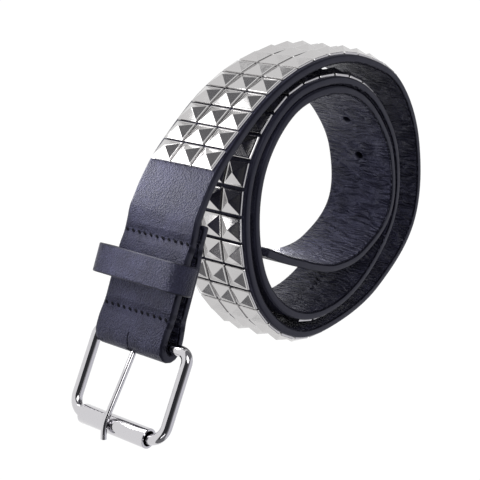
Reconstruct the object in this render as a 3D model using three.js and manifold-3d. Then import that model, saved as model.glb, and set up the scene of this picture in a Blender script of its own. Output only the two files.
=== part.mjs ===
// A leather belt with three rows of pyramid studs, rolled up and lying on the edges of its strap.
// Lengths are millimetres, +Z is up, and the floor is z = 0. The strap starts at its plain tip inside
// the roll, winds outward for almost three turns and leaves it straight, to the roller buckle.
import * as THREE from 'three';
import { mergeVertices } from 'three/addons/utils/BufferGeometryUtils.js';
import Module from 'manifold-3d';

const wasm = await Module();
wasm.setup();

// Strap
const STRAP_WIDTH = 38.1;
const STRAP_WALL = 4;
const EDGE_BEVEL = 0.8;
const STRAP_STEP = 6.8;

// Clearance between pieces that touch on the real belt
const FIT = 0.3;

// Roll, seen from above: the size that the turns follow, and where the tip stops
const ROLL_RADIUS = 60;
const TURN_STEP = 30;
const TIP_BEARING = -49;
const TIP_LEAN = 0.35;
const TIP_GAP = 0.4;

// Studs
const STUD_SIDE = 11.3;
const STUD_HEIGHT = 3.8;
const STUD_SKIRT = 1.2;
const STUD_WEB = 0.5;
const STUD_SINK = 0.1;
const PITCH_ALONG = 11.9;
const PITCH_ACROSS = 11.7;
const STUD_ROWS = 3;
const PLAIN_TIP = 362;
const PLAIN_BUCKLE_END = 75;

// Punched holes in the tip end
const HOLE_DIAMETER = 4.6;
const HOLE_COUNT = 5;
const HOLE_PITCH = 25.4;
const FIRST_HOLE = 142;

// Buckle end: the straight run, and the strap's fold round the back bar
const RUN_CLEAR = 12.2;
const RUN_REACH = 82.9;
const RUN_HEADING = -1;
const RUN_LENGTH = 53;
const RUN_STEP = 4;
const FOLD_STEP = 15;
const STRAP_LIFT = 6.5;
const LIFT_FROM = 120;
const LIFT_TO = 30;
const STITCH_BEHIND = 43;

// Buckle frame, bent from round wire
const WIRE_DIAMETER = 4.8;
const FRAME_WIDTH = 51.4;
const FRAME_DEPTH = 37.7;
const FRAME_HEADING = -4.5;
const BACK_CORNER = 4.4;
const FRONT_CORNER = 7;
const FLOOR_GAP = 0.6;
const WIRE_SIDES = 12;
const CORNER_STEPS = 6;

// Roller tube on the front bar
const ROLLER_DIAMETER = 8.5;
const ROLLER_WALL = 1.05;
const ROLLER_LENGTH = 37.4;
const ROLLER_SIDES = 24;

// Prong
const PRONG_DIAMETER = 2.6;
const PRONG_HOOK = 6.2;
const PRONG_BEND = 30;
const PRONG_OVERHANG = 0.6;
const PRONG_SKEW = 3;
const EYE_FROM = 50;
const EYE_TO = 340;
const EYE_STEPS = 13;
const NECK_RADIUS = 2;
const NECK_STEPS = 4;
const SLOT_PLAY = 0.5;
const SLOT_FROM = -1;

// Keeper loop, round the front layer of the buckle end
const KEEPER_WIDTH = 12.4;
const KEEPER_WALL = 2;
const KEEPER_LENGTH = 50;
const KEEPER_DEPTH = 15.5;
const KEEPER_CORNER = 7;
const KEEPER_BEHIND = 28.3;
const KEEPER_PLAY = 0.4;
const KEEPER_SIDES = 6;

// The turns at twelve bearings from the middle of the roll. inner is the first turn's radius; middle
// and outer are the free room between it and the second, and between the studs and the third turn.
const TURNS = [
  { bearing: 0, inner: 0.613, middle: 0.337, outer: 0.012 },
  { bearing: 30, inner: 0.662, middle: 0.262, outer: 0.006 },
  { bearing: 60, inner: 0.788, middle: 0.132, outer: 0.095 },
  { bearing: 90, inner: 0.937, middle: 0.013, outer: 0.215 },
  { bearing: 120, inner: 0.873, middle: 0.013, outer: 0.203 },
  { bearing: 150, inner: 0.803, middle: 0.017, outer: 0.177 },
  { bearing: 180, inner: 0.802, middle: 0.01, outer: 0.067 },
  { bearing: 210, inner: 0.837, middle: 0.009, outer: 0.019 },
  { bearing: 240, inner: 0.922, middle: 0.022, outer: 0.022 },
  { bearing: 270, inner: 0.973, middle: 0.05, outer: 0.233 },
  { bearing: 300, inner: 0.982, middle: 0.048, outer: 0.3 },
  { bearing: 330, inner: 1.017, middle: 0.057, outer: 0.3 },
];
const LAST_KNOT = 33;

// The tip end, which runs nearly straight across the inside of the roll
const TIP_TURN = [
  { bearing: -30, reach: 0.707 },
  { bearing: -15, reach: 0.633 },
];

const LEATHER = new THREE.MeshStandardMaterial({ color: 0x33343f, roughness: 0.55, metalness: 0 });
const CHROME = new THREE.MeshStandardMaterial({ color: 0xd8d8dc, roughness: 0.16, metalness: 1 });
const STUD_METAL = new THREE.MeshStandardMaterial({ color: 0xcfcdcb, roughness: 0.24, metalness: 1 });

const barRadius = WIRE_DIAMETER / 2;
const studRise = FIT + STUD_HEIGHT;
const foldRadius = barRadius + FIT + STRAP_WALL / 2;
const layerGap = FIT;
const keeperGap = KEEPER_WALL + 2 * KEEPER_PLAY;
const barGap = 2 * (barRadius + FIT);
const postLow = FLOOR_GAP + barRadius;
const strapMiddle = STRAP_LIFT + STRAP_WIDTH / 2;
const heading = THREE.MathUtils.degToRad(RUN_HEADING);

const smooth = (t) => THREE.MathUtils.smoothstep(t, 0, 1);

// Radius of the roll's centre line at knot i, which lies i * TURN_STEP degrees on from bearing 0
function turnRadius(i) {
  const row = TURNS[i % TURNS.length];
  const turn = Math.floor(i / TURNS.length);
  let radius = row.inner * ROLL_RADIUS;
  if (turn > 0) radius += STRAP_WALL + row.middle * ROLL_RADIUS;
  if (turn > 1) radius += STRAP_WALL + studRise + row.outer * ROLL_RADIUS;
  return radius;
}

function polar(bearing, radius) {
  const angle = THREE.MathUtils.degToRad(bearing);
  return new THREE.Vector3(radius * Math.cos(angle), radius * Math.sin(angle), 0);
}

// The back bar, past the third turn's lowest knot
const bar = new THREE.Vector3(RUN_REACH, -turnRadius(LAST_KNOT) - RUN_CLEAR, 0);
const ahead = new THREE.Vector3(Math.cos(heading), Math.sin(heading), 0);
const front = new THREE.Vector3(Math.sin(heading), -Math.cos(heading), 0);

// Distance between the two layers of the buckle end, at a distance behind the bar
function layerSpread(behind) {
  const keeperStart = KEEPER_BEHIND + KEEPER_WIDTH / 2;
  const keeperEnd = KEEPER_BEHIND - KEEPER_WIDTH / 2;
  if (behind > keeperStart) {
    const t = (STITCH_BEHIND - behind) / (STITCH_BEHIND - keeperStart);
    return THREE.MathUtils.lerp(layerGap, keeperGap, smooth(t));
  }
  const t = (keeperEnd - behind) / keeperEnd;
  return THREE.MathUtils.lerp(keeperGap, barGap, THREE.MathUtils.clamp(t, 0, 1));
}

function runPoint(behind, side) {
  const offset = side * (STRAP_WALL + layerSpread(behind)) / 2;
  return bar.clone().addScaledVector(ahead, -behind).addScaledVector(front, offset);
}

// Centre line of the strap in plan, from the tip to the end of the flap behind the buckle
function strapRoute() {
  const facing = new THREE.Vector3().lerpVectors(
    polar(300, turnRadius(10)), polar(330, turnRadius(11)), (360 + TIP_BEARING - 300) / TURN_STEP);
  const tipRadius = facing.length() - STRAP_WALL * (0.5 + TIP_LEAN) - TIP_GAP;
  const knots = [polar(TIP_BEARING, tipRadius)];
  for (const row of TIP_TURN) knots.push(polar(row.bearing, row.reach * ROLL_RADIUS));
  for (let i = 0; i <= LAST_KNOT; i++) knots.push(polar(i * TURN_STEP, turnRadius(i)));
  const lead = new THREE.Vector3().lerpVectors(knots.at(-1), runPoint(RUN_LENGTH, 1), 0.5);
  lead.addScaledVector(front, 0.14 * RUN_CLEAR);
  knots.push(lead);
  for (let behind = RUN_LENGTH; behind > STITCH_BEHIND; behind -= RUN_STEP) knots.push(runPoint(behind, 1));
  const coil = new THREE.CatmullRomCurve3(knots, false, 'centripetal');
  coil.arcLengthDivisions = 2000;
  const points = coil.getSpacedPoints(Math.round(coil.getLength() / STRAP_STEP));
  const lastBehind = RUN_LENGTH - RUN_STEP * (Math.ceil((RUN_LENGTH - STITCH_BEHIND) / RUN_STEP) - 1);
  for (let behind = lastBehind - RUN_STEP; behind > 1; behind -= RUN_STEP) points.push(runPoint(behind, 1));
  const barIndex = points.length;
  for (let turn = 0; turn <= 180; turn += FOLD_STEP) {
    const angle = THREE.MathUtils.degToRad(turn);
    const point = bar.clone().addScaledVector(front, foldRadius * Math.cos(angle));
    points.push(point.addScaledVector(ahead, foldRadius * Math.sin(angle)));
  }
  for (let behind = RUN_STEP; behind <= RUN_LENGTH; behind += RUN_STEP) points.push(runPoint(behind, -1));
  return { points, barIndex };
}

// Each station of the strap has its place, its direction, its outward side and its distance from the tip
function stationsAlong({ points, barIndex }) {
  const distances = [0];
  for (let i = 1; i < points.length; i++) distances.push(distances[i - 1] + points[i].distanceTo(points[i - 1]));
  const barAt = distances[barIndex];
  return points.map((point, i) => {
    const before = points[Math.max(i - 1, 0)];
    const after = points[Math.min(i + 1, points.length - 1)];
    const along = after.clone().sub(before).normalize();
    const lift = STRAP_LIFT * smooth((LIFT_FROM - (barAt - distances[i])) / (LIFT_FROM - LIFT_TO));
    const origin = point.clone().setZ(lift);
    return { origin, along, out: new THREE.Vector3(along.y, -along.x, 0), distance: distances[i], barAt };
  });
}

const stations = stationsAlong(strapRoute());
const barAt = stations[0].barAt;

// The station at any distance from the tip, between the ones above
function stationAt(distance) {
  let i = 1;
  while (i < stations.length - 1 && stations[i].distance < distance) i++;
  const [a, b] = [stations[i - 1], stations[i]];
  const t = (distance - a.distance) / (b.distance - a.distance);
  const origin = new THREE.Vector3().lerpVectors(a.origin, b.origin, t);
  const along = new THREE.Vector3().lerpVectors(a.along, b.along, t).normalize();
  return { origin, along, out: new THREE.Vector3(along.y, -along.x, 0) };
}

const UP = new THREE.Vector3(0, 0, 1);

// A closed solid from one section carried along frames; section points are [out, up] pairs
function sweep(frames, section, closed = false) {
  const positions = [];
  const index = [];
  for (const { origin, out, up = UP } of frames) {
    for (const [a, b] of section) {
      const p = origin.clone().addScaledVector(out, a).addScaledVector(up, b);
      positions.push(p.x, p.y, p.z);
    }
  }
  const n = section.length;
  const rings = closed ? frames.length : frames.length - 1;
  for (let i = 0; i < rings; i++) {
    const next = (i + 1) % frames.length;
    for (let j = 0; j < n; j++) {
      const k = (j + 1) % n;
      index.push(i * n + j, next * n + j, next * n + k, i * n + j, next * n + k, i * n + k);
    }
  }
  if (!closed) {
    const end = (frames.length - 1) * n;
    for (let j = 1; j < n - 1; j++) index.push(0, j, j + 1, end, end + j + 1, end + j);
  }
  return outward(positions, index);
}

// Turns every face round when the solid comes out inside out
function outward(positions, index) {
  let volume = 0;
  const at = (i) => new THREE.Vector3(positions[3 * i], positions[3 * i + 1], positions[3 * i + 2]);
  for (let i = 0; i < index.length; i += 3) {
    volume += at(index[i]).dot(at(index[i + 1]).cross(at(index[i + 2])));
  }
  if (volume < 0) {
    for (let i = 0; i < index.length; i += 3) [index[i], index[i + 1]] = [index[i + 1], index[i]];
  }
  const geometry = new THREE.BufferGeometry();
  geometry.setAttribute('position', new THREE.Float32BufferAttribute(positions, 3));
  geometry.setIndex(index);
  return geometry;
}

function solidOf(geometry) {
  const plain = geometry.clone();
  plain.deleteAttribute('normal');
  plain.deleteAttribute('uv');
  const merged = mergeVertices(plain, 1e-4);
  const vertProperties = new Float32Array(merged.attributes.position.array);
  const triVerts = new Uint32Array(merged.index.array);
  return new wasm.Manifold(new wasm.Mesh({ numProp: 3, vertProperties, triVerts }));
}

function geometryOf(solid) {
  const mesh = solid.getMesh();
  const geometry = new THREE.BufferGeometry();
  geometry.setAttribute('position', new THREE.Float32BufferAttribute(mesh.vertProperties, 3));
  geometry.setIndex(Array.from(mesh.triVerts));
  return geometry;
}

function mesh(name, geometry, material) {
  const shaded = geometry.index ? geometry.toNonIndexed() : geometry;
  shaded.computeVertexNormals();
  const result = new THREE.Mesh(shaded, material);
  result.name = name;
  return result;
}

// A flat section with bevelled edges, from one strap edge to the other
function bandSection(inner, outer, low, high, bevel) {
  return [
    [inner, low + bevel], [inner + bevel, low], [outer - bevel, low], [outer, low + bevel],
    [outer, high - bevel], [outer - bevel, high], [inner + bevel, high], [inner, high - bevel],
  ];
}

function circleSection(radius, sides) {
  return Array.from({ length: sides }, (_, i) => {
    const angle = 2 * Math.PI * i / sides;
    return [radius * Math.cos(angle), radius * Math.sin(angle)];
  });
}

// Punched hole through the strap, at a distance from the tip
function holeCutter(distance) {
  const { origin, out } = stationAt(distance);
  const cutter = new THREE.CylinderGeometry(HOLE_DIAMETER / 2, HOLE_DIAMETER / 2, 3 * STRAP_WALL, 16);
  cutter.applyQuaternion(new THREE.Quaternion().setFromUnitVectors(new THREE.Vector3(0, 1, 0), out));
  cutter.translate(origin.x, origin.y, origin.z + STRAP_WIDTH / 2);
  return cutter;
}

// The prong's slot through the outside of the fold, and the room inside it for the prong's eye
function slotCutters() {
  const width = PRONG_DIAMETER + 2 * SLOT_PLAY;
  const reach = foldRadius + STRAP_WALL;
  const slot = new THREE.BoxGeometry(reach, 2 * reach, width);
  slot.translate(reach / 2 + SLOT_FROM, 0, 0);
  const eyeRoom = barRadius + 2 * FIT + PRONG_DIAMETER;
  const room = new THREE.CylinderGeometry(eyeRoom, eyeRoom, width, 32);
  room.rotateX(Math.PI / 2);
  const place = new THREE.Matrix4().makeRotationZ(heading).setPosition(bar.x, bar.y, strapMiddle);
  return [slot.applyMatrix4(place), room.applyMatrix4(place)];
}

function strap() {
  const half = STRAP_WALL / 2;
  const section = bandSection(-half, half, 0, STRAP_WIDTH, EDGE_BEVEL);
  let solid = solidOf(sweep(stations, section));
  for (let i = 0; i < HOLE_COUNT; i++) solid = solid.subtract(solidOf(holeCutter(FIRST_HOLE + i * HOLE_PITCH)));
  for (const cutter of slotCutters()) solid = solid.subtract(solidOf(cutter));
  return mesh('strap', geometryOf(solid), LEATHER);
}

// One pyramid stud on its square skirt, lying in x (along the strap) and y, with its point on +z
function studGeometry() {
  const half = STUD_SIDE / 2;
  const positions = [];
  for (const z of [STUD_SINK, STUD_SKIRT]) {
    positions.push(-half, -half, z, half, -half, z, half, half, z, -half, half, z);
  }
  positions.push(0, 0, STUD_HEIGHT);
  const index = [0, 2, 1, 0, 3, 2];
  for (let i = 0; i < 4; i++) {
    const j = (i + 1) % 4;
    index.push(i, j, 4 + j, i, 4 + j, 4 + i, 4 + i, 4 + j, 8);
  }
  return outward(positions, index);
}

// The field of studs, joined by a thin web that lies on the leather
function studField() {
  const studdedEnd = barAt - PLAIN_BUCKLE_END;
  const columns = Math.floor((studdedEnd - PLAIN_TIP) / PITCH_ALONG);
  const start = studdedEnd - columns * PITCH_ALONG;
  const base = STRAP_WALL / 2 + FIT;
  const margin = (STRAP_WIDTH - (STUD_ROWS - 1) * PITCH_ACROSS - STUD_SIDE) / 2;
  const webFrames = [];
  for (let i = 1; i < 2 * columns; i++) webFrames.push(stationAt(start + i * PITCH_ALONG / 2));
  const low = margin + STUD_SIDE / 3;
  const webSection = [[base, low], [base + STUD_WEB, low],
    [base + STUD_WEB, STRAP_WIDTH - low], [base, STRAP_WIDTH - low]];
  let solid = solidOf(sweep(webFrames, webSection));
  const stud = studGeometry();
  for (let column = 0; column < columns; column++) {
    const { origin, along, out } = stationAt(start + (column + 0.5) * PITCH_ALONG);
    for (let row = 0; row < STUD_ROWS; row++) {
      const up = margin + STUD_SIDE / 2 + row * PITCH_ACROSS;
      const place = new THREE.Matrix4().makeBasis(along, UP.clone(), out);
      place.setPosition(origin.clone().addScaledVector(out, base).addScaledVector(UP, up));
      const placed = stud.clone().applyMatrix4(place);
      solid = solid.add(solidOf(outward([...placed.attributes.position.array], [...placed.index.array])));
    }
  }
  return mesh('stud_field', geometryOf(solid), STUD_METAL);
}

// A rectangle in x and y with round corners, as points; radii in the order of the corners
function roundedCorners(corners, radii, steps) {
  return corners.flatMap((corner, i) => {
    const back = corners.at(i - 1).clone().sub(corner).normalize();
    const on = corners[(i + 1) % corners.length].clone().sub(corner).normalize();
    const start = corner.clone().addScaledVector(back, radii[i]);
    const end = corner.clone().addScaledVector(on, radii[i]);
    const middle = start.clone().addScaledVector(on, radii[i]);
    return Array.from({ length: steps + 1 }, (_, k) => {
      const angle = (Math.PI / 2) * k / steps;
      return middle.clone()
        .addScaledVector(start.clone().sub(middle), Math.cos(angle))
        .addScaledVector(end.clone().sub(middle), Math.sin(angle));
    });
  });
}

// Wire frames along points of a flat route: out is in the route's plane, up is the plane's normal
function wireFrames(points, normal, closed) {
  return points.map((origin, i) => {
    const before = closed ? points.at(i - 1) : points[Math.max(i - 1, 0)];
    const after = closed ? points[(i + 1) % points.length] : points[Math.min(i + 1, points.length - 1)];
    const along = after.clone().sub(before).normalize();
    return { origin, out: along.clone().cross(normal), up: normal };
  });
}

// The buckle's pieces lie in the buckle group: x ahead from the back bar, -y the front, z up
function buckleFrame() {
  const high = postLow + FRAME_WIDTH;
  const corners = [
    new THREE.Vector3(0, 0, postLow), new THREE.Vector3(FRAME_DEPTH, 0, postLow),
    new THREE.Vector3(FRAME_DEPTH, 0, high), new THREE.Vector3(0, 0, high),
  ];
  const radii = [BACK_CORNER, FRONT_CORNER, FRONT_CORNER, BACK_CORNER];
  const points = roundedCorners(corners, radii, CORNER_STEPS);
  const frames = wireFrames(points, new THREE.Vector3(0, 1, 0), true);
  return mesh('buckle_frame', sweep(frames, circleSection(barRadius, WIRE_SIDES), true), CHROME);
}

function roller() {
  const outer = ROLLER_DIAMETER / 2;
  const inner = outer - ROLLER_WALL;
  const half = ROLLER_LENGTH / 2;
  const profile = [[inner, -half], [outer, -half], [outer, half], [inner, half], [inner, -half]];
  const tube = new THREE.LatheGeometry(profile.map(([x, y]) => new THREE.Vector2(x, y)), ROLLER_SIDES);
  const result = mesh('roller', tube, CHROME);
  result.rotation.x = Math.PI / 2;
  result.position.set(FRAME_DEPTH, 0, postLow + FRAME_WIDTH / 2);
  return result;
}

// Round wire: an eye round the back bar, a neck, a shank that lies on the roller, and a hooked end
function prong() {
  const wire = PRONG_DIAMETER / 2;
  const eye = barRadius + FIT + wire;
  const rest = ROLLER_DIAMETER / 2 + FIT + wire;
  const points = [];
  for (let i = 0; i <= EYE_STEPS; i++) {
    const angle = THREE.MathUtils.degToRad(THREE.MathUtils.lerp(EYE_FROM, EYE_TO, i / EYE_STEPS));
    points.push(new THREE.Vector3(eye * Math.cos(angle), eye * Math.sin(angle), 0));
  }
  const leave = THREE.MathUtils.degToRad(EYE_TO - 270);
  const middle = points.at(-1).clone();
  middle.add(new THREE.Vector3(Math.sin(leave), -Math.cos(leave), 0).multiplyScalar(NECK_RADIUS));
  const neck = (angle) => middle.clone().add(
    new THREE.Vector3(-Math.sin(angle), Math.cos(angle), 0).multiplyScalar(NECK_RADIUS));
  let slant = 0;
  for (let i = 0; i < 20; i++) {
    const end = neck(-slant);
    slant = Math.asin((rest + Math.cos(slant) * end.y) / (FRAME_DEPTH - end.x));
  }
  for (let i = 1; i <= NECK_STEPS; i++) points.push(neck(THREE.MathUtils.lerp(leave, -slant, i / NECK_STEPS)));
  const shank = new THREE.Vector3(Math.cos(slant), -Math.sin(slant), 0);
  const start = points.at(-1).clone();
  const reach = FRAME_DEPTH / shank.x - start.x;
  const bend = start.clone().addScaledVector(shank, reach + PRONG_OVERHANG);
  const hook = shank.clone().applyAxisAngle(UP, THREE.MathUtils.degToRad(PRONG_BEND));
  const soft = new THREE.QuadraticBezierCurve3(
    bend.clone().addScaledVector(shank, -wire), bend, bend.clone().addScaledVector(hook, wire));
  points.push(start.clone().addScaledVector(shank, reach / 2), ...soft.getPoints(3));
  points.push(bend.clone().addScaledVector(hook, PRONG_HOOK));
  const frames = wireFrames(points, UP.clone(), false);
  const result = mesh('prong', sweep(frames, circleSection(wire, WIRE_SIDES)), CHROME);
  result.position.z = strapMiddle;
  result.rotation.y = -THREE.MathUtils.degToRad(PRONG_SKEW);
  return result;
}

function roundedLoop(target, depth, length, corner) {
  const [x, y] = [depth / 2, length / 2];
  target.moveTo(-x + corner, -y);
  target.lineTo(x - corner, -y);
  target.absarc(x - corner, -y + corner, corner, -Math.PI / 2, 0);
  target.lineTo(x, y - corner);
  target.absarc(x - corner, y - corner, corner, 0, Math.PI / 2);
  target.lineTo(-x + corner, y);
  target.absarc(-x + corner, y - corner, corner, Math.PI / 2, Math.PI);
  target.lineTo(-x, -y + corner);
  target.absarc(-x + corner, -y + corner, corner, Math.PI, 1.5 * Math.PI);
  return target;
}

function keeper() {
  const loop = roundedLoop(new THREE.Shape(), KEEPER_DEPTH, KEEPER_LENGTH, KEEPER_CORNER);
  const [depth, length] = [KEEPER_DEPTH - 2 * KEEPER_WALL, KEEPER_LENGTH - 2 * KEEPER_WALL];
  loop.holes.push(roundedLoop(new THREE.Path(), depth, length, KEEPER_CORNER - KEEPER_WALL));
  const band = new THREE.ExtrudeGeometry(loop, {
    depth: KEEPER_WIDTH, bevelEnabled: false, curveSegments: KEEPER_SIDES,
  });
  band.translate(0, 0, -KEEPER_WIDTH / 2);
  band.applyQuaternion(new THREE.Quaternion().setFromAxisAngle(
    new THREE.Vector3(1, 1, 1).normalize(), 2 * Math.PI / 3));
  const result = mesh('keeper', band, LEATHER);
  result.position.set(-KEEPER_BEHIND, KEEPER_WALL / 2 - KEEPER_DEPTH / 2, FIT + KEEPER_LENGTH / 2);
  return result;
}

// The buckle's frame turns about the back bar, so its group lies inside the strap's straight run
const buckle = new THREE.Group();
buckle.rotation.z = THREE.MathUtils.degToRad(FRAME_HEADING);
buckle.add(buckleFrame(), roller(), prong());

const run = new THREE.Group();
run.position.copy(bar);
run.rotation.z = heading;
run.add(keeper(), buckle);

const belt = new THREE.Group();
belt.add(strap(), studField(), run);

// The origin is under the middle of the whole belt
const box = new THREE.Box3().setFromObject(belt);
const middle = box.getCenter(new THREE.Vector3());
belt.position.set(-middle.x, -middle.y, 0);

const part = new THREE.Group();
part.add(belt);

export default part;
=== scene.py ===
import math

import bpy
from mathutils import Matrix, Quaternion, Vector


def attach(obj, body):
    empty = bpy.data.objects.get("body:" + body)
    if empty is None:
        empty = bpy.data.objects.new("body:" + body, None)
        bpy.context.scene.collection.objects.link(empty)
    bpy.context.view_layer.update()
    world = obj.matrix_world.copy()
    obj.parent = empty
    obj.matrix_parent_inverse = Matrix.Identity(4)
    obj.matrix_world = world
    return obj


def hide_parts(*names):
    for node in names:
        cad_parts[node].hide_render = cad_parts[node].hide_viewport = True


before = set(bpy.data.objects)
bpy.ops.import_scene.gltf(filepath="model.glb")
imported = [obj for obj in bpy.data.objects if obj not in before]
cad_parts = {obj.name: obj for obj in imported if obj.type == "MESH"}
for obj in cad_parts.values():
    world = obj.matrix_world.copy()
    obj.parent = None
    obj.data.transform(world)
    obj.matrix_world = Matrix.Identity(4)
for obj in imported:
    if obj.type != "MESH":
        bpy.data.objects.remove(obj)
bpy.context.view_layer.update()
bpy.ops.object.select_all(action="DESELECT")


# The belt is photographed in a white studio from a little above, and the picture is turned on its side.
# The camera stands in front of the buckle end, about half a metre away, rolled like that picture.
CAMERA_AIM = Vector((0.0049, -0.0250, 0.0190))
CAMERA_DISTANCE = 0.5645
CAMERA_ELEVATION = math.radians(36.76)
CAMERA_ROLL = math.radians(104.04)
CAMERA_LENS = 91.3

towards_camera = Vector((0, -math.cos(CAMERA_ELEVATION), math.sin(CAMERA_ELEVATION)))
bpy.ops.object.camera_add(location=CAMERA_AIM + CAMERA_DISTANCE * towards_camera)
camera = bpy.context.object
camera.rotation_mode = "QUATERNION"
upright = (-towards_camera).to_track_quat("-Z", "Y")
camera.rotation_quaternion = upright @ Quaternion((0, 0, 1), CAMERA_ROLL)
camera.data.lens = CAMERA_LENS
bpy.context.scene.camera = camera
bpy.context.scene.view_settings.view_transform = "Standard"


# The floor is a wide sheet of white paper on a light table, and it fills the whole background.
# It is matt and evenly lit from below, so the belt lies on it with hardly any shadow.
FLOOR_SIZE = 8
FLOOR_DROP = 0.0002
FLOOR_COLOUR = (0.05, 0.05, 0.05, 1)
FLOOR_GLOW = 1.0
FLOOR_ROUGH = 0.9
FLOOR_SHINE = 0.1


def add_node(material, kind, inputs=None, **settings):
    made = material.node_tree.nodes.new(kind)
    for name, value in settings.items():
        setattr(made, name, value)
    for name, value in (inputs or {}).items():
        if isinstance(value, bpy.types.NodeSocket):
            material.node_tree.links.new(value, made.inputs[name])
        else:
            made.inputs[name].default_value = value
    return made


def new_material(name):
    """An empty node material, and its shader."""
    material = bpy.data.materials.new(name)
    material.use_nodes = True
    return material, material.node_tree.nodes["Principled BSDF"]


bpy.ops.mesh.primitive_plane_add(size=FLOOR_SIZE, location=(0, 0, -FLOOR_DROP))
floor = bpy.context.object
floor.name = "studio_floor"
paper, paper_shader = new_material("white_paper")
paper_shader.inputs["Base Color"].default_value = FLOOR_COLOUR
paper_shader.inputs["Emission Color"].default_value = (1, 1, 1, 1)
paper_shader.inputs["Emission Strength"].default_value = FLOOR_GLOW
paper_shader.inputs["Roughness"].default_value = FLOOR_ROUGH
paper_shader.inputs["Specular IOR Level"].default_value = FLOOR_SHINE
floor.data.materials.append(paper)


# The light is soft: a pale room, darker behind the camera and brighter behind the belt, and two
# lamps that stand in it. Three small lamps lie face up on the floor and bring out the leather's sheen.
ROOM_COLOUR = (0.19, 0.19, 0.20, 1)
WALLS = [
    {"side": (0.13, -0.86, 0.50), "colour": (0.04, 0.04, 0.045, 1), "edge": 0.62, "core": 0.82},
    {"side": (0.13, 0.73, 0.67), "colour": (0.80, 0.80, 0.85, 1), "edge": 0.70, "core": 0.82},
]
LAMPS = [
    {"name": "left_floor_lamp", "place": (-0.036, -0.112, 0), "size": (0.07, 0.06), "watts": 0.065},
    {"name": "front_floor_lamp", "place": (0.018, -0.130, 0), "size": (0.06, 0.028), "watts": 0.05},
    {"name": "inner_floor_lamp", "place": (-0.010, 0.024, 0), "size": (0.045, 0.022), "watts": 0.025},
    {"name": "front_lamp", "place": (-0.54, -0.68, 0.80), "size": (0.55, 0.85), "watts": 5},
    {"name": "strip_lamp", "place": (0.85, -0.75, 0.75), "size": (0.12, 0.6), "watts": 1},
]

room = bpy.data.worlds.new("studio_room")
room.use_nodes = True
look = add_node(room, "ShaderNodeTexCoord").outputs["Generated"]
room_light = ROOM_COLOUR
for wall in WALLS:
    facing = add_node(room, "ShaderNodeVectorMath", {0: look, 1: wall["side"]}, operation="DOT_PRODUCT")
    share = add_node(
        room, "ShaderNodeMapRange",
        {"Value": facing.outputs["Value"], "From Min": wall["edge"], "From Max": wall["core"]},
        interpolation_type="SMOOTHSTEP")
    mixed = add_node(
        room, "ShaderNodeMix", {"Factor": share.outputs["Result"], "A": room_light, "B": wall["colour"]},
        data_type="RGBA")
    room_light = mixed.outputs["Result"]
room.node_tree.links.new(room_light, room.node_tree.nodes["Background"].inputs["Color"])
bpy.context.scene.world = room

for lamp in LAMPS:
    bpy.ops.object.light_add(type="AREA", location=lamp["place"])
    light = bpy.context.object
    light.name = lamp["name"]
    light.data.shape = "RECTANGLE"
    light.data.size, light.data.size_y = lamp["size"]
    light.data.energy = lamp["watts"]
    light.rotation_mode = "QUATERNION"
    lies_on_floor = lamp["place"][2] == 0
    aim = Vector((0, 0, 1)) if lies_on_floor else CAMERA_AIM - light.location
    light.rotation_quaternion = aim.to_track_quat("-Z", "Y")


# The strap is one long band of stiff leather with painted edges. It is cut and punched flat and then
# wound up from its plain tip, and its other end is folded back round the buckle's bar.
STRAP_WIDTH = 0.0381
STRAP_WALL = 0.004
STRAP_EDGE_ROUND = 0.0009
STRAP_CELL = 0.002
STRAP_ROWS = 14
SHARP_EDGE = math.radians(60)
SMOOTH_BELOW = math.radians(40)
ROLL_MIDDLE = Vector((-0.028085, 0.012986, 0))
ROLL_RADIUS = 0.060
TURN_STEP = 30
LAST_KNOT = 33
STUD_RISE = 0.0041
TIP_BEARING = -49
TIP_KNOT = 10
TIP_LEAN = 0.35
TIP_GAP = 0.0004
# The turns at twelve bearings, as shares of the roll's radius: the first turn, the free room between
# it and the second, and the free room between the second turn's studs and the third.
TURNS = [
    {"inner": 0.613, "middle": 0.337, "outer": 0.012},
    {"inner": 0.662, "middle": 0.262, "outer": 0.006},
    {"inner": 0.788, "middle": 0.132, "outer": 0.095},
    {"inner": 0.937, "middle": 0.013, "outer": 0.215},
    {"inner": 0.873, "middle": 0.013, "outer": 0.203},
    {"inner": 0.803, "middle": 0.017, "outer": 0.177},
    {"inner": 0.802, "middle": 0.010, "outer": 0.067},
    {"inner": 0.837, "middle": 0.009, "outer": 0.019},
    {"inner": 0.922, "middle": 0.022, "outer": 0.022},
    {"inner": 0.973, "middle": 0.050, "outer": 0.233},
    {"inner": 0.982, "middle": 0.048, "outer": 0.300},
    {"inner": 1.017, "middle": 0.057, "outer": 0.300},
]
TIP_TURN = [(-30, 0.707), (-15, 0.633)]
RUN_CLEAR = 0.0122
RUN_REACH = 0.0829
RUN_HEADING = math.radians(-1)
RUN_LENGTH = 0.053
RUN_STEP = 0.004
RUN_BULGE = 0.14
FOLD_STEP = 30
LINE_STEPS = 24
BAR_RADIUS = 0.0024
BAR_FIT = 0.0003
LAYER_GAP = 0.0003
KEEPER_GAP = 0.0028
STITCH_BEHIND = 0.043
KEEPER_BEHIND = 0.0283
KEEPER_WIDTH = 0.0124
STRAP_LIFT = 0.0065
LIFT_FROM = 0.120
LIFT_TO = 0.030
HOLE_DIAMETER = 0.0046
HOLE_PITCH = 0.0254
FIRST_HOLE = 0.142
HOLE_COUNT = 5
PINCH_BEHIND = 0.013
PINCH_LENGTH = 0.010
SLOT_WIDTH = 0.0031
SLOT_AFTER = 0.0042
SLIT_WIDTH = 0.0006
SLIT_BEHIND = 0.0015


def turn_radius(knot):
    row = TURNS[knot % len(TURNS)]
    radius = row["inner"] * ROLL_RADIUS
    if knot >= len(TURNS):
        radius += STRAP_WALL + row["middle"] * ROLL_RADIUS
    if knot >= 2 * len(TURNS):
        radius += STRAP_WALL + STUD_RISE + row["outer"] * ROLL_RADIUS
    return radius


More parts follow.
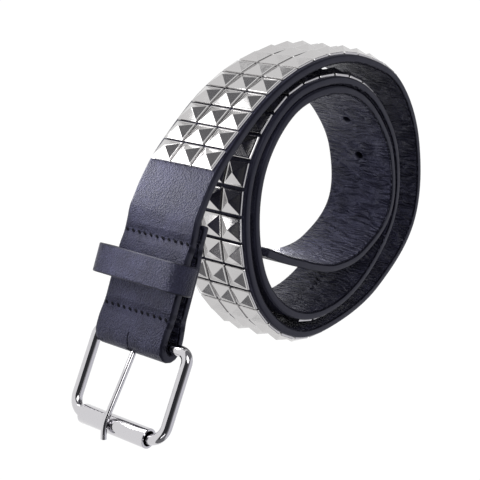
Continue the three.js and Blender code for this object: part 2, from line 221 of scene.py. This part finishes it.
def roll_point(bearing, radius):
    angle = math.radians(bearing)
    return ROLL_MIDDLE + radius * Vector((math.cos(angle), math.sin(angle), 0))


run_ahead = Vector((math.cos(RUN_HEADING), math.sin(RUN_HEADING), 0))
run_front = Vector((math.sin(RUN_HEADING), -math.cos(RUN_HEADING), 0))
bar = ROLL_MIDDLE + Vector((RUN_REACH, -turn_radius(LAST_KNOT) - RUN_CLEAR, 0))
fold_radius = BAR_RADIUS + BAR_FIT + STRAP_WALL / 2


def smooth(share):
    share = min(max(share, 0), 1)
    return share * share * (3 - 2 * share)


def mix(a, b, share):
    return a + (b - a) * share


def run_point(behind, side):
    """Middle of a layer of the buckle end, at a distance behind the bar; side 1 is the front layer."""
    keeper_start = KEEPER_BEHIND + KEEPER_WIDTH / 2
    if behind > keeper_start:
        spread = mix(LAYER_GAP, KEEPER_GAP, smooth((STITCH_BEHIND - behind) / (STITCH_BEHIND - keeper_start)))
    else:
        spread = mix(KEEPER_GAP, 2 * (BAR_RADIUS + BAR_FIT), smooth((PINCH_BEHIND - behind) / PINCH_LENGTH))
    return bar - behind * run_ahead + side * (STRAP_WALL + spread) / 2 * run_front


before_tip = roll_point(TIP_KNOT * TURN_STEP, turn_radius(TIP_KNOT))
after_tip = roll_point((TIP_KNOT + 1) * TURN_STEP, turn_radius(TIP_KNOT + 1))
facing_tip = before_tip.lerp(after_tip, (360 + TIP_BEARING) / TURN_STEP - TIP_KNOT) - ROLL_MIDDLE
tip_radius = facing_tip.length - STRAP_WALL * (0.5 + TIP_LEAN) - TIP_GAP
knots = [roll_point(TIP_BEARING, tip_radius)]
knots += [roll_point(bearing, reach * ROLL_RADIUS) for bearing, reach in TIP_TURN]
knots += [roll_point(knot * TURN_STEP, turn_radius(knot)) for knot in range(LAST_KNOT + 1)]
knots.append(knots[-1].lerp(run_point(RUN_LENGTH, 1), 0.5) + RUN_BULGE * RUN_CLEAR * run_front)
run_steps = int(RUN_LENGTH / RUN_STEP)
knots += [run_point(RUN_LENGTH - step * RUN_STEP, 1) for step in range(run_steps + 1)]
bar_knot = len(knots)
for turn in range(0, 181, FOLD_STEP):
    angle = math.radians(turn)
    knots.append(bar + fold_radius * (math.cos(angle) * run_front + math.sin(angle) * run_ahead))
knots += [run_point(step * RUN_STEP, -1) for step in range(1, run_steps + 1)]


def line_through(name, points):
    """A smooth curve through points, each handle a third of the way to the next point."""
    line = bpy.data.curves.new(name, "CURVE")
    line.dimensions = "3D"
    line.twist_mode = "Z_UP"
    line.resolution_u = LINE_STEPS
    spline = line.splines.new("BEZIER")
    spline.bezier_points.add(len(points) - 1)
    for i, point in enumerate(points):
        before = points[max(i - 1, 0)]
        after = points[min(i + 1, len(points) - 1)]
        along = (after - before).normalized()
        knot = spline.bezier_points[i]
        knot.co = point
        knot.handle_left = point - along * (point - before).length / 3
        knot.handle_right = point + along * (after - point).length / 3
    made = bpy.data.objects.new(name, line)
    bpy.context.scene.collection.objects.link(made)
    return made


strap_line = line_through("strap_line", knots)
strap_length = strap_line.data.splines[0].calc_length()
to_bar = line_through("to_bar", knots[:bar_knot + 1])
bar_at = to_bar.data.splines[0].calc_length()
bpy.data.objects.remove(to_bar)


def select_only(piece):
    bpy.ops.object.select_all(action="DESELECT")
    piece.select_set(True)
    bpy.context.view_layer.objects.active = piece


def finish_with(piece, kind, **settings):
    """Adds a modifier and applies it."""
    select_only(piece)
    modifier = piece.modifiers.new(kind.title(), kind)
    for name, value in settings.items():
        setattr(modifier, name, value)
    bpy.ops.object.modifier_apply(modifier=modifier.name)


def apply_place(piece):
    select_only(piece)
    bpy.ops.object.transform_apply(location=True, rotation=True, scale=True)


def round_edges(piece, width, segments, sharper_than=SHARP_EDGE):
    finish_with(
        piece, "BEVEL", width=width, segments=segments, limit_method="ANGLE", angle_limit=sharper_than)


def cut(piece, cutter):
    finish_with(piece, "BOOLEAN", object=cutter, operation="DIFFERENCE", solver="EXACT")
    bpy.data.objects.remove(cutter)


def keep_flat_place(piece):
    """Keeps where each point lies on the flat strap, for patterns that follow the leather."""
    flat = piece.data.attributes.new("flat", "FLOAT_VECTOR", "POINT")
    flat.data.foreach_set("vector", [value for vertex in piece.data.vertices for value in vertex.co])


def strap_rise(distance):
    """How far the buckle end lifts the strap off the floor, at a distance from the tip."""
    return STRAP_LIFT * smooth((LIFT_FROM - (bar_at - distance)) / (LIFT_FROM - LIFT_TO))


def wind_up(piece):
    for vertex in piece.data.vertices:
        vertex.co.z += strap_rise(vertex.co.x)
    finish_with(piece, "CURVE", object=strap_line, deform_axis="POS_X")


bpy.ops.mesh.primitive_grid_add(
    x_subdivisions=round(strap_length / STRAP_CELL), y_subdivisions=STRAP_ROWS, size=1,
    location=(strap_length / 2, 0, STRAP_WIDTH / 2), rotation=(math.radians(90), 0, 0))
strap = bpy.context.object
strap.name = "leather_strap"
strap.scale = (strap_length, STRAP_WIDTH, 1)
apply_place(strap)
finish_with(strap, "SOLIDIFY", thickness=STRAP_WALL, offset=0)
round_edges(strap, STRAP_EDGE_ROUND, 3)

for hole in range(HOLE_COUNT):
    bpy.ops.mesh.primitive_cylinder_add(
        vertices=24, radius=HOLE_DIAMETER / 2, depth=3 * STRAP_WALL, rotation=(math.radians(90), 0, 0),
        location=(FIRST_HOLE + hole * HOLE_PITCH, 0, STRAP_WIDTH / 2))
    cut(strap, bpy.context.object)

slot_end = bar_at + math.pi * fold_radius + SLIT_BEHIND
for start, width in ((bar_at + SLOT_AFTER, SLOT_WIDTH), (bar_at - SLIT_BEHIND, SLIT_WIDTH)):
    bpy.ops.mesh.primitive_cube_add(size=1, location=((start + slot_end) / 2, 0, STRAP_WIDTH / 2))
    slot = bpy.context.object
    slot.scale = (slot_end - start, 3 * STRAP_WALL, width)
    apply_place(slot)
    cut(strap, slot)

keep_flat_place(strap)
wind_up(strap)
select_only(strap)
bpy.ops.object.shade_smooth_by_angle(angle=SMOOTH_BELOW)

# Leather: dark navy with a pebbled grain, rounded creases where the inside is squeezed by the bend,
# a dent along each seam, a raised ring round each hole, and smooth paint along both edges.
LEATHER_COLOUR = (0.009, 0.009, 0.019, 1)
LEATHER_WORN = (0.036, 0.036, 0.066, 1)
LEATHER_ROUGH = {"least": 0.34, "most": 0.44}
LEATHER_SHINE = 0.34
LEATHER_SHINE_TINT = (0.70, 0.71, 1, 1)
LEATHER_SHEEN = 0.04
LEATHER_SHEEN_ROUGH = 0.45
LEATHER_SHEEN_TINT = (0.72, 0.70, 1, 1)
WORN_FROM = 0.12
WORN_TO = 0.42
GRAIN_SCALE = 1400
GRAIN_DEPTH = 0.0005
SPECKLE_SCALE = 1.7 * GRAIN_SCALE
CLOUD_SCALE = 110
EDGE_PAINT = (0.005, 0.005, 0.010, 1)
PAINT_FROM = 0.0009
PAINT_FULL = 0.0004
INSIDE_FROM = 0.0010
INSIDE_FULL = 0.0019
INSIDE_SHINE = 0.16
CREASE_STRETCH = (430, 1, 85)
CREASE_WANDER = (1.5, 0, 0.8)
CREASE_WANDER_SCALE = 130
CREASE_SOFT = 0.4
CREASE_DEPTH = 0.0017
LOW_STITCH_BEHIND = 0.0106
SEAM_DENT = 0.0020
SEAM_SPREAD = 0.0042
RING_OUTER = 0.0050
RING_INNER = 0.0024
RING_RISE = 0.0008

fold_length = math.pi * fold_radius
stitch_rows = [
    bar_at - STITCH_BEHIND, bar_at - LOW_STITCH_BEHIND,
    bar_at + fold_length + LOW_STITCH_BEHIND, bar_at + fold_length + STITCH_BEHIND,
]


def maths(material, operation, *values):
    return add_node(
        material, "ShaderNodeMath", dict(enumerate(values)), operation=operation).outputs[0]


def ramp(material, value, start, end, low=0, high=1):
    """A smooth step of a value between two limits."""
    return add_node(
        material, "ShaderNodeMapRange",
        {"Value": value, "From Min": start, "From Max": end, "To Min": low, "To Max": high},
        interpolation_type="SMOOTHSTEP").outputs["Result"]


def bump(material, height, distance, under=None):
    inputs = {"Height": height, "Strength": 1, "Distance": distance}
    if under:
        inputs["Normal"] = under
    return add_node(material, "ShaderNodeBump", inputs).outputs["Normal"]


def tint(material, share, low, high):
    return add_node(
        material, "ShaderNodeMix", {"Factor": share, "A": low, "B": high}, data_type="RGBA").outputs["Result"]


def leather(name, place, painted):
    """The grained finish; place is where its pattern lies, and painted is 1 on smooth painted edges."""
    material, shader = new_material(name)
    where = place(material)
    smooth_share = painted(material, where)
    cells = add_node(
        material, "ShaderNodeTexVoronoi", {"Vector": where, "Scale": GRAIN_SCALE}, feature="SMOOTH_F1")
    speckle = add_node(
        material, "ShaderNodeTexNoise", {"Vector": where, "Scale": SPECKLE_SCALE, "Detail": 2})
    cloud = add_node(
        material, "ShaderNodeTexNoise",
        {"Vector": where, "Scale": CLOUD_SCALE, "Detail": 5, "Roughness": 0.6})
    pebbles = maths(material, "ADD", cells.outputs["Distance"], speckle.outputs["Fac"])
    grained = maths(material, "SUBTRACT", 1, smooth_share)
    height = maths(material, "MULTIPLY", pebbles, grained)
    worn = maths(material, "MULTIPLY", cloud.outputs["Fac"], speckle.outputs["Fac"])
    tone = tint(material, ramp(material, worn, WORN_FROM, WORN_TO), LEATHER_COLOUR, LEATHER_WORN)
    links = material.node_tree.links
    links.new(tint(material, smooth_share, tone, EDGE_PAINT), shader.inputs["Base Color"])
    gloss = ramp(
        material, cloud.outputs["Fac"], 0.3, 0.7, LEATHER_ROUGH["least"], LEATHER_ROUGH["most"])
    links.new(gloss, shader.inputs["Roughness"])
    shader.inputs["Specular IOR Level"].default_value = LEATHER_SHINE
    shader.inputs["Specular Tint"].default_value = LEATHER_SHINE_TINT
    shader.inputs["Sheen Weight"].default_value = LEATHER_SHEEN
    shader.inputs["Sheen Roughness"].default_value = LEATHER_SHEEN_ROUGH
    shader.inputs["Sheen Tint"].default_value = LEATHER_SHEEN_TINT
    grain = bump(material, height, GRAIN_DEPTH)
    links.new(grain, shader.inputs["Normal"])
    return material, shader, where, grain, gloss


def flat_place(material):
    return add_node(material, "ShaderNodeAttribute", attribute_name="flat").outputs["Vector"]


def near_edges(material, where):
    z = add_node(material, "ShaderNodeSeparateXYZ", {"Vector": where}).outputs["Z"]
    from_middle = maths(material, "ABSOLUTE", maths(material, "SUBTRACT", z, STRAP_WIDTH / 2))
    return ramp(material, from_middle, STRAP_WIDTH / 2 - PAINT_FROM, STRAP_WIDTH / 2 - PAINT_FULL)


strap_leather, strap_shader, where, grain, gloss = leather("strap_leather", flat_place, near_edges)
split = add_node(strap_leather, "ShaderNodeSeparateXYZ", {"Vector": where})
along = split.outputs["X"]

inside = ramp(strap_leather, split.outputs["Y"], INSIDE_FROM, INSIDE_FULL)
outside = maths(strap_leather, "SUBTRACT", 1, inside)
inside_shine = maths(strap_leather, "MULTIPLY", inside, INSIDE_SHINE)
strap_gloss = maths(strap_leather, "SUBTRACT", gloss, inside_shine)
strap_leather.node_tree.links.new(strap_gloss, strap_shader.inputs["Roughness"])
wander = add_node(
    strap_leather, "ShaderNodeTexNoise", {"Vector": where, "Scale": CREASE_WANDER_SCALE, "Detail": 3})
stretched = add_node(strap_leather, "ShaderNodeMapping", {"Vector": where, "Scale": CREASE_STRETCH})
bent = add_node(
    strap_leather, "ShaderNodeVectorMath",
    {0: wander.outputs["Color"], 1: CREASE_WANDER, 2: stretched.outputs["Vector"]},
    operation="MULTIPLY_ADD")
folds = add_node(
    strap_leather, "ShaderNodeTexVoronoi", {"Vector": bent.outputs["Vector"], "Scale": 1},
    feature="DISTANCE_TO_EDGE")
creases = maths(
    strap_leather, "MULTIPLY", ramp(strap_leather, folds.outputs["Distance"], 0, CREASE_SOFT), inside)

seam = 1
for row in stitch_rows:
    seam = maths(strap_leather, "MINIMUM", seam, maths(
        strap_leather, "ABSOLUTE", maths(strap_leather, "SUBTRACT", along, row)))
dents = maths(strap_leather, "MULTIPLY", ramp(strap_leather, seam, 0, SEAM_SPREAD), outside)

past_first_hole = maths(strap_leather, "SUBTRACT", along, FIRST_HOLE)
hole_number = maths(strap_leather, "ROUND", maths(strap_leather, "DIVIDE", past_first_hole, HOLE_PITCH))
hole_number = maths(strap_leather, "MINIMUM", HOLE_COUNT - 1, hole_number)
hole_number = maths(strap_leather, "MAXIMUM", 0, hole_number)
hole_at = maths(strap_leather, "MULTIPLY_ADD", hole_number, HOLE_PITCH, FIRST_HOLE)
hole_spot = add_node(strap_leather, "ShaderNodeCombineXYZ", {"X": hole_at, "Z": STRAP_WIDTH / 2})
hole_across = add_node(strap_leather, "ShaderNodeCombineXYZ", {"X": along, "Z": split.outputs["Z"]})
from_hole = add_node(
    strap_leather, "ShaderNodeVectorMath",
    {0: hole_across.outputs["Vector"], 1: hole_spot.outputs["Vector"]}, operation="DISTANCE")
rings = ramp(strap_leather, from_hole.outputs["Value"], RING_OUTER, RING_INNER)

shaped = bump(strap_leather, creases, CREASE_DEPTH, grain)
shaped = bump(strap_leather, dents, SEAM_DENT, shaped)
shaped = bump(strap_leather, rings, RING_RISE, shaped)
strap_leather.node_tree.links.new(shaped, strap_shader.inputs["Normal"])
strap.data.materials.append(strap_leather)
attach(strap, "belt")
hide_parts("strap")


# The studs are pressed metal pyramids on square skirts, plated bright. Each is pushed through the
# leather and its claws are bent over behind it. They stand in three rows with narrow gaps.
STUD_SIDE = 0.0111
STUD_SKIRT = 0.0015
STUD_RIM = 0.0009
STUD_POINT = 0.0025
STUD_SINK = 0.0002
STUD_SOFT = 0.00015
STUD_SOFT_EDGE = math.radians(22)
CLAW_GAP_PLACE = 0.0027
CLAW_GAP_RADIUS = 0.00065
STUD_ROWS = 3
PITCH_ALONG = 0.0119
PITCH_ACROSS = 0.0117
PLAIN_TIP = 0.362
PLAIN_BUCKLE_END = 0.075
STUD_COLOUR = (0.54, 0.53, 0.53, 1)
STUD_ROUGH = {"least": 0.1, "most": 0.22}
STUD_CLOUD_SCALE = 260
STUD_WAVE = 0.25
METAL_WAVE_DEPTH = 0.0002


def select_faces(piece, test):
    """Leaves the piece in edit mode with the faces selected whose middle and normal pass the test."""
    select_only(piece)
    bpy.ops.object.mode_set(mode="EDIT")
    bpy.ops.mesh.select_mode(type="FACE")
    bpy.ops.mesh.select_all(action="DESELECT")
    bpy.ops.object.mode_set(mode="OBJECT")
    for face in piece.data.polygons:
        face.select = test(face.center, face.normal)
    bpy.ops.object.mode_set(mode="EDIT")


def select_edges(piece, test):
    """Leaves the piece in edit mode with the edges selected whose middle and direction pass the test."""
    select_only(piece)
    bpy.ops.object.mode_set(mode="EDIT")
    bpy.ops.mesh.select_mode(type="EDGE")
    bpy.ops.mesh.select_all(action="DESELECT")
    bpy.ops.object.mode_set(mode="OBJECT")
    points = piece.data.vertices
    for edge in piece.data.edges:
        a, b = (points[i].co for i in edge.vertices)
        edge.select = test((a + b) / 2, (b - a).normalized())
    bpy.ops.object.mode_set(mode="EDIT")


bpy.ops.mesh.primitive_cube_add(size=1, location=(0, 0, STUD_SKIRT / 2))
stud = bpy.context.object
stud.scale = (STUD_SIDE, STUD_SIDE, STUD_SKIRT)
apply_place(stud)
select_edges(stud, lambda middle, along: middle.z > 0.9 * STUD_SKIRT)
bpy.ops.mesh.bevel(offset=STUD_RIM, segments=2, profile=0.6)
bpy.ops.object.mode_set(mode="OBJECT")
select_faces(stud, lambda middle, normal: middle.z > 0.99 * STUD_SKIRT and normal.z > 0.99)
bpy.ops.mesh.poke(offset=STUD_POINT)
bpy.ops.object.mode_set(mode="OBJECT")
round_edges(stud, STUD_SOFT, 1, STUD_SOFT_EDGE)
for side in (-CLAW_GAP_PLACE, CLAW_GAP_PLACE):
    bpy.ops.mesh.primitive_cylinder_add(
        vertices=6, radius=CLAW_GAP_RADIUS, depth=2 * STUD_SIDE, location=(0, side, STUD_SINK),
        rotation=(0, math.radians(90), 0))
    cut(stud, bpy.context.object)

stud_columns = math.floor((bar_at - PLAIN_BUCKLE_END - PLAIN_TIP) / PITCH_ALONG)
first_stud = bar_at - PLAIN_BUCKLE_END - stud_columns * PITCH_ALONG
chain = bpy.data.meshes.new("stud_chain")
chain.from_pydata(
    [(first_stud + step * PITCH_ALONG / 2, 0, 0) for step in range(2 * stud_columns + 1)],
    [(step, step + 1) for step in range(2 * stud_columns)], [])
chain_object = bpy.data.objects.new("stud_chain", chain)
bpy.context.scene.collection.objects.link(chain_object)
wind_up(chain_object)
chain_points = [vertex.co.copy() for vertex in chain.vertices]
bpy.data.objects.remove(chain_object)

row_margin = (STRAP_WIDTH - (STUD_ROWS - 1) * PITCH_ACROSS) / 2
all_studs = []
for column in range(stud_columns):
    before, centre, after = chain_points[2 * column:2 * column + 3]
    along = (after - before).to_2d().to_3d().normalized()
    outward = Vector((along.y, -along.x, 0))
    for row in range(STUD_ROWS):
        place = centre + (STRAP_WALL / 2 - STUD_SINK) * outward
        place.z += row_margin + row * PITCH_ACROSS
        copy = bpy.data.objects.new("stud_copy", stud.data.copy())
        turn = Matrix((along, Vector((0, 0, 1)), outward)).transposed()
        copy.data.transform(Matrix.Translation(place) @ turn.to_4x4())
        bpy.context.scene.collection.objects.link(copy)
        all_studs.append(copy)
bpy.data.objects.remove(stud)


def join_all(copies):
    select_only(copies[0])
    for copy in copies:
        copy.select_set(True)
    bpy.ops.object.join()
    return bpy.context.object


studs = join_all(all_studs)
studs.name = "pyramid_studs"


def object_place(material):
    return add_node(material, "ShaderNodeTexCoord").outputs["Object"]


def plated_metal(name, colour, rough, cloud_scale, cloud_detail, wave):
    """Bright plating whose gloss is a little uneven, over metal that is faintly wavy."""
    material, shader = new_material(name)
    shader.inputs["Base Color"].default_value = colour
    shader.inputs["Metallic"].default_value = 1
    cloud = add_node(
        material, "ShaderNodeTexNoise",
        {"Vector": object_place(material), "Scale": cloud_scale, "Detail": cloud_detail}).outputs["Fac"]
    gloss = add_node(
        material, "ShaderNodeMapRange", {"Value": cloud, "To Min": rough["least"], "To Max": rough["most"]})
    waves = add_node(
        material, "ShaderNodeBump", {"Height": cloud, "Strength": wave, "Distance": METAL_WAVE_DEPTH})
    material.node_tree.links.new(gloss.outputs["Result"], shader.inputs["Roughness"])
    material.node_tree.links.new(waves.outputs["Normal"], shader.inputs["Normal"])
    return material


stud_metal = plated_metal("stud_metal", STUD_COLOUR, STUD_ROUGH, STUD_CLOUD_SCALE, 3, STUD_WAVE)
studs.data.materials.append(stud_metal)
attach(studs, "belt")
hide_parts("stud_field")


# The stitches are thick dark thread, two rows across the strap that sew its folded end shut.
# Each stitch lies a little slantwise in the dent along its row. They show on the front and the back.
STITCH_LENGTH = 0.0027
STITCH_THICK = 0.0013
STITCH_PITCH = 0.0034
STITCH_COUNT = 11
STITCH_SLANT = math.radians(32)
STITCH_DIVE = 0.0004
STITCH_END = 0.45
THREAD_COLOUR = (0.004, 0.004, 0.007, 1)
THREAD_ROUGH = 0.8
THREAD_SHINE = 0.1
TWIST_SCALE = 900
TWIST_STRENGTH = 0.5
TWIST_DEPTH = 0.0001

bpy.ops.mesh.primitive_cylinder_add(vertices=8, radius=STITCH_THICK / 2, depth=STITCH_LENGTH / 2)
stitch = bpy.context.object
for end in (-1, 1):
    select_faces(stitch, lambda middle, normal: end * normal.z > 0.9)
    bpy.ops.mesh.extrude_region_move(
        TRANSFORM_OT_translate={"value": (0, STITCH_DIVE, end * STITCH_LENGTH / 4)})
    bpy.ops.transform.resize(
        value=(STITCH_END, STITCH_END, 1), center_override=(0, STITCH_DIVE, end * STITCH_LENGTH / 2))
    bpy.ops.object.mode_set(mode="OBJECT")
finish_with(stitch, "SUBSURF", levels=1, render_levels=1)

all_stitches = []
for distance in stitch_rows:
    for step in range(STITCH_COUNT):
        height = STRAP_WIDTH / 2 + (step - (STITCH_COUNT - 1) / 2) * STITCH_PITCH
        copy = bpy.data.objects.new("stitch_copy", stitch.data.copy())
        copy.data.transform(
            Matrix.Translation((distance, -STRAP_WALL / 2, height)) @ Matrix.Rotation(STITCH_SLANT, 4, "Y"))
        bpy.context.scene.collection.objects.link(copy)
        all_stitches.append(copy)
bpy.data.objects.remove(stitch)
stitches = join_all(all_stitches)
stitches.name = "stitches"
wind_up(stitches)
select_only(stitches)
bpy.ops.object.shade_smooth()
thread, thread_shader = new_material("dark_thread")
thread_twist = add_node(
    thread, "ShaderNodeTexWave", {"Vector": object_place(thread), "Scale": TWIST_SCALE, "Distortion": 1},
    bands_direction="DIAGONAL")
thread_bump = add_node(
    thread, "ShaderNodeBump",
    {"Height": thread_twist.outputs["Fac"], "Strength": TWIST_STRENGTH, "Distance": TWIST_DEPTH})
thread_shader.inputs["Base Color"].default_value = THREAD_COLOUR
thread_shader.inputs["Roughness"].default_value = THREAD_ROUGH
thread_shader.inputs["Specular IOR Level"].default_value = THREAD_SHINE
thread.node_tree.links.new(thread_bump.outputs["Normal"], thread_shader.inputs["Normal"])
stitches.data.materials.append(thread)
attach(stitches, "belt")


# The keeper is a closed loop of thinner leather round the front layer of the buckle end. Its ends
# are joined behind that layer, and the belt's tip goes through the room in front of it.
KEEPER_WALL = 0.002
KEEPER_LENGTH = 0.050
KEEPER_DEPTH = 0.0155
KEEPER_CORNER = 0.007
KEEPER_LOW = 0.0003
KEEPER_EDGE_ROUND = 0.0005
KEEPER_PAINT_FROM = 0.0006
KEEPER_PAINT_FULL = 0.0002

to_run = Matrix.Translation(bar) @ Matrix.Rotation(RUN_HEADING, 4, "Z")
bpy.ops.mesh.primitive_cube_add(size=1)
keeper = bpy.context.object
keeper.name = "leather_keeper"
keeper.scale = (KEEPER_WIDTH, KEEPER_DEPTH, KEEPER_LENGTH)
apply_place(keeper)
select_faces(keeper, lambda middle, normal: abs(normal.x) > 0.9)
bpy.ops.mesh.delete(type="FACE")
bpy.ops.object.mode_set(mode="OBJECT")
select_edges(keeper, lambda middle, along: abs(along.x) > 0.9)
bpy.ops.mesh.bevel(offset=KEEPER_CORNER, segments=10)
bpy.ops.mesh.select_all(action="SELECT")
bpy.ops.mesh.normals_make_consistent(inside=False)
bpy.ops.object.mode_set(mode="OBJECT")
finish_with(keeper, "SOLIDIFY", thickness=KEEPER_WALL, offset=-1)
round_edges(keeper, KEEPER_EDGE_ROUND, 3)
keeper.data.transform(
    to_run @ Matrix.Translation(
        (-KEEPER_BEHIND, (KEEPER_WALL - KEEPER_DEPTH) / 2, KEEPER_LOW + KEEPER_LENGTH / 2)))
select_only(keeper)
bpy.ops.object.shade_smooth_by_angle(angle=SMOOTH_BELOW)


def near_rims(material, where):
    """1 near the two cut rims, by the distance along the run from the keeper's middle."""
    keeper_middle = bar - KEEPER_BEHIND * run_ahead
    from_keeper = add_node(
        material, "ShaderNodeVectorMath", {0: where, 1: keeper_middle}, operation="SUBTRACT")
    along_run = add_node(
        material, "ShaderNodeVectorMath", {0: from_keeper.outputs["Vector"], 1: run_ahead},
        operation="DOT_PRODUCT").outputs["Value"]
    reach = maths(material, "ABSOLUTE", along_run)
    return ramp(material, reach, KEEPER_WIDTH / 2 - KEEPER_PAINT_FROM, KEEPER_WIDTH / 2 - KEEPER_PAINT_FULL)


keeper_leather = leather("keeper_leather", object_place, near_rims)[0]
keeper.data.materials.append(keeper_leather)
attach(keeper, "belt")
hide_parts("keeper")


# The buckle's frame is a closed rectangle bent from one round wire and chromed. Its back bar lies in
# the strap's fold, and its front bar carries the roller.
FRAME_WIDTH = 0.0514
FRAME_DEPTH = 0.0377
FRAME_HEADING = math.radians(-4.5)
FRAME_LOW = 0.003
BACK_CORNER = 0.0044
FRONT_CORNER = 0.007
SAME_PLACE = 0.00001
CHROME_COLOUR = (0.60, 0.59, 0.61, 1)
CHROME_ROUGH = {"least": 0.05, "most": 0.13}
CHROME_CLOUD_SCALE = 180
CHROME_WAVE = 0.15

to_frame = to_run @ Matrix.Rotation(FRAME_HEADING, 4, "Z")
bpy.ops.mesh.primitive_plane_add(
    size=1, location=(FRAME_DEPTH / 2, 0, FRAME_LOW + FRAME_WIDTH / 2), rotation=(math.radians(90), 0, 0))
buckle_frame = bpy.context.object
buckle_frame.name = "wire_frame"
buckle_frame.scale = (FRAME_DEPTH, FRAME_WIDTH, 1)
apply_place(buckle_frame)
select_faces(buckle_frame, lambda middle, normal: True)
bpy.ops.mesh.delete(type="ONLY_FACE")
bpy.ops.mesh.select_mode(type="VERT")
bpy.ops.object.mode_set(mode="OBJECT")
for is_back, corner in ((True, BACK_CORNER), (False, FRONT_CORNER)):
    bpy.ops.object.mode_set(mode="EDIT")
    bpy.ops.mesh.select_all(action="DESELECT")
    bpy.ops.object.mode_set(mode="OBJECT")
    for vertex in buckle_frame.data.vertices:
        above_low = vertex.co.z - FRAME_LOW
        at_corner = min(abs(above_low), abs(above_low - FRAME_WIDTH)) < SAME_PLACE
        at_end = vertex.co.x < SAME_PLACE if is_back else vertex.co.x > FRAME_DEPTH - SAME_PLACE
        vertex.select = at_corner and at_end
    bpy.ops.object.mode_set(mode="EDIT")
    bpy.ops.mesh.bevel(offset=corner, segments=12, affect="VERTICES")
    bpy.ops.object.mode_set(mode="OBJECT")
bpy.ops.object.convert(target="CURVE")
buckle_frame.data.bevel_depth = BAR_RADIUS
buckle_frame.data.bevel_resolution = 8
bpy.ops.object.convert(target="MESH")
buckle_frame.data.transform(to_frame)
bpy.ops.object.mode_set(mode="EDIT")
bpy.ops.mesh.select_all(action="SELECT")
bpy.ops.mesh.remove_doubles(threshold=SAME_PLACE)
bpy.ops.mesh.normals_make_consistent(inside=False)
bpy.ops.object.mode_set(mode="OBJECT")
bpy.ops.object.shade_smooth()

chrome = plated_metal(
    "polished_chrome", CHROME_COLOUR, CHROME_ROUGH, CHROME_CLOUD_SCALE, 4, CHROME_WAVE)
buckle_frame.data.materials.append(chrome)
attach(buckle_frame, "frame")
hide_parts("buckle_frame")


# The roller is a thin chromed tube that turns loosely on the front bar, so that the strap slides
# over it. Its ends are open and look black inside.
ROLLER_RADIUS = 0.00425
ROLLER_WALL = 0.00105
ROLLER_LENGTH = 0.0374
ROLLER_EDGE_ROUND = 0.0002

bpy.ops.mesh.primitive_cylinder_add(
    vertices=64, radius=ROLLER_RADIUS, depth=ROLLER_LENGTH, end_fill_type="NOTHING",
    location=(FRAME_DEPTH, 0, FRAME_LOW + FRAME_WIDTH / 2))
roller = bpy.context.object
roller.name = "roller_tube"
apply_place(roller)
finish_with(roller, "SOLIDIFY", thickness=ROLLER_WALL, offset=-1)
round_edges(roller, ROLLER_EDGE_ROUND, 3)
roller.data.transform(to_frame)
select_only(roller)
bpy.ops.object.shade_smooth_by_angle(angle=SMOOTH_BELOW)
roller.data.materials.append(chrome)
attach(roller, "roller")
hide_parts("roller")


# The prong is a thinner wire. It is bent round the back bar into an eye inside the fold, comes out
# through the slot and lies on the roller with its hooked tip past it.
PRONG_RADIUS = 0.0013
PRONG_HOOK = 0.0062
PRONG_BEND = math.radians(30)
PRONG_OVERHANG = 0.0006
PRONG_SKEW = math.radians(3)
PRONG_END_ROUND = 0.0005
EYE_FROM = 50
EYE_TO = 340
EYE_STEP = 29
NECK_RADIUS = 0.002
NECK_STEPS = (0.25, 0.5, 0.75, 1)
BEND_REACH = 1.5 * PRONG_RADIUS

eye_radius = BAR_RADIUS + BAR_FIT + PRONG_RADIUS
prong_rest = ROLLER_RADIUS + BAR_FIT + PRONG_RADIUS


def flat_direction(angle):
    return Vector((math.cos(angle), math.sin(angle), 0))


prong_points = [
    eye_radius * flat_direction(math.radians(angle)) for angle in range(EYE_FROM, EYE_TO + 1, EYE_STEP)]
leave = math.radians(EYE_TO - 270)
neck_middle = prong_points[-1] + NECK_RADIUS * flat_direction(leave - math.pi / 2)
slant = 0
for _ in range(20):
    neck_end = neck_middle + NECK_RADIUS * flat_direction(math.pi / 2 - slant)
    slant = math.asin((prong_rest + math.cos(slant) * neck_end.y) / (FRAME_DEPTH - neck_end.x))
for step in NECK_STEPS:
    prong_points.append(neck_middle + NECK_RADIUS * flat_direction(mix(leave, -slant, step) + math.pi / 2))
shank = flat_direction(-slant)
bend = neck_end + shank * (FRAME_DEPTH / shank.x - neck_end.x + PRONG_OVERHANG)
hook = flat_direction(PRONG_BEND - slant)
prong_points += [neck_end.lerp(bend, 0.5), bend - BEND_REACH * shank, bend + BEND_REACH * hook]
prong_points.append(bend + PRONG_HOOK * hook)
prong = line_through("prong_wire", prong_points)
prong.data.bevel_depth = PRONG_RADIUS
prong.data.bevel_resolution = 6
prong.data.use_fill_caps = True
select_only(prong)
bpy.ops.object.convert(target="MESH")
round_edges(prong, PRONG_END_ROUND, 4)
prong_height = STRAP_LIFT + STRAP_WIDTH / 2
prong.data.transform(
    to_frame @ Matrix.Translation((0, 0, prong_height)) @ Matrix.Rotation(-PRONG_SKEW, 4, "Y"))
bpy.ops.object.shade_smooth_by_angle(angle=SMOOTH_BELOW)
prong.data.materials.append(chrome)
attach(prong, "prong")
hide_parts("prong")

bpy.data.objects.remove(strap_line)
